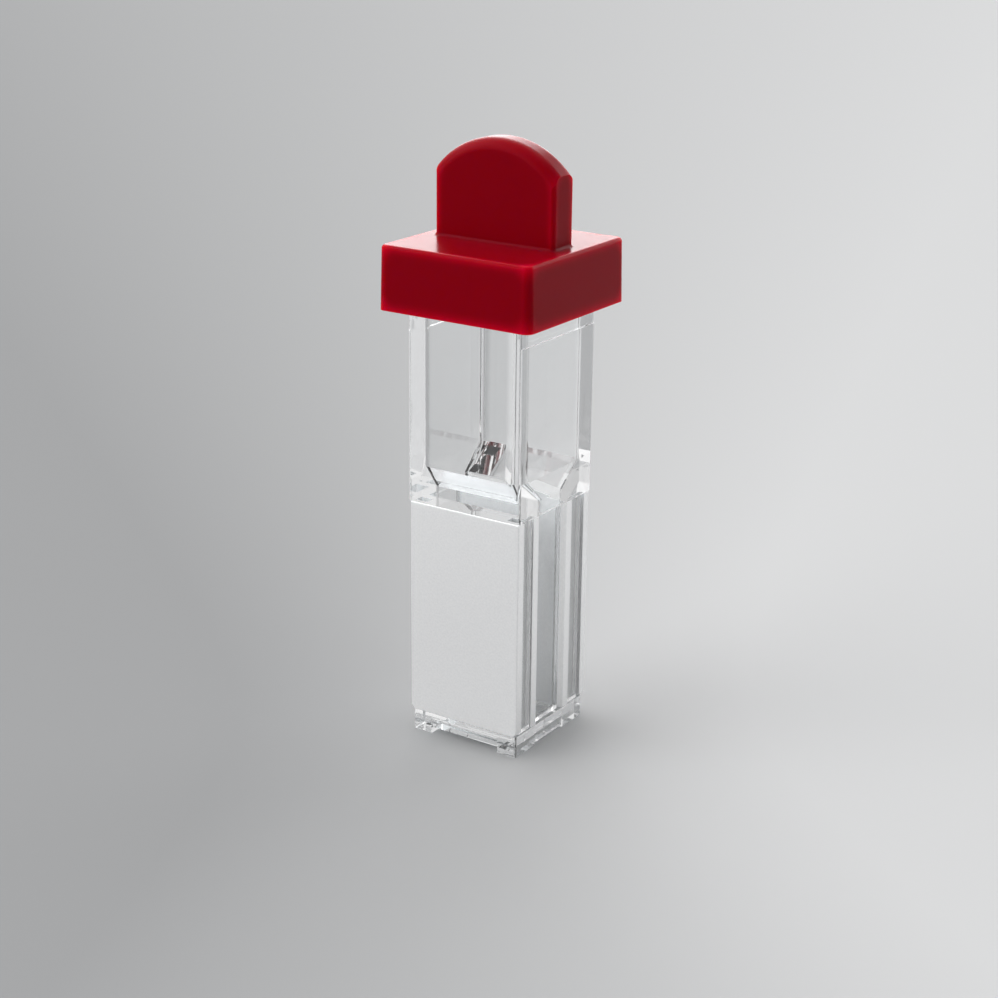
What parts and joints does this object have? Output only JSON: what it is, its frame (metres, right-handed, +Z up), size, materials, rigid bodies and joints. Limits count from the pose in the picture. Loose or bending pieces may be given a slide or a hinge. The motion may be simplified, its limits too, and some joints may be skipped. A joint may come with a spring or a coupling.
{
  "type": "electroporation cuvette",
  "caption": "Square clear cuvette with metal electrodes moulded into opposite faces of its lower half and a red push-on cap with an arched grip fin.",
  "frame": {"origin": "centre of the base, on the plane that the feet stand on", "axes": "+Z up along the body, the front electrode faces -Y, the clear windows face +X and -X"},
  "size_m": [0.0164, 0.0164, 0.0578],
  "materials": {
    "clear_plastic": "water-clear, polished",
    "aluminium": "satin, fine grain",
    "red_plastic": "gloss, moulded"
  },
  "bodies": {
    "cuvette": {"cuvette_body": "clear_plastic", "front_electrode": "aluminium", "rear_electrode": "aluminium"},
    "cap": {"cap": "red_plastic"}
  },
  "joints": [
    {"name": "cap_lift", "type": "slide", "parent": "cuvette", "child": "cap", "axis": [0, 0, 1], "range_m": [0, 0.012]}
  ]
}
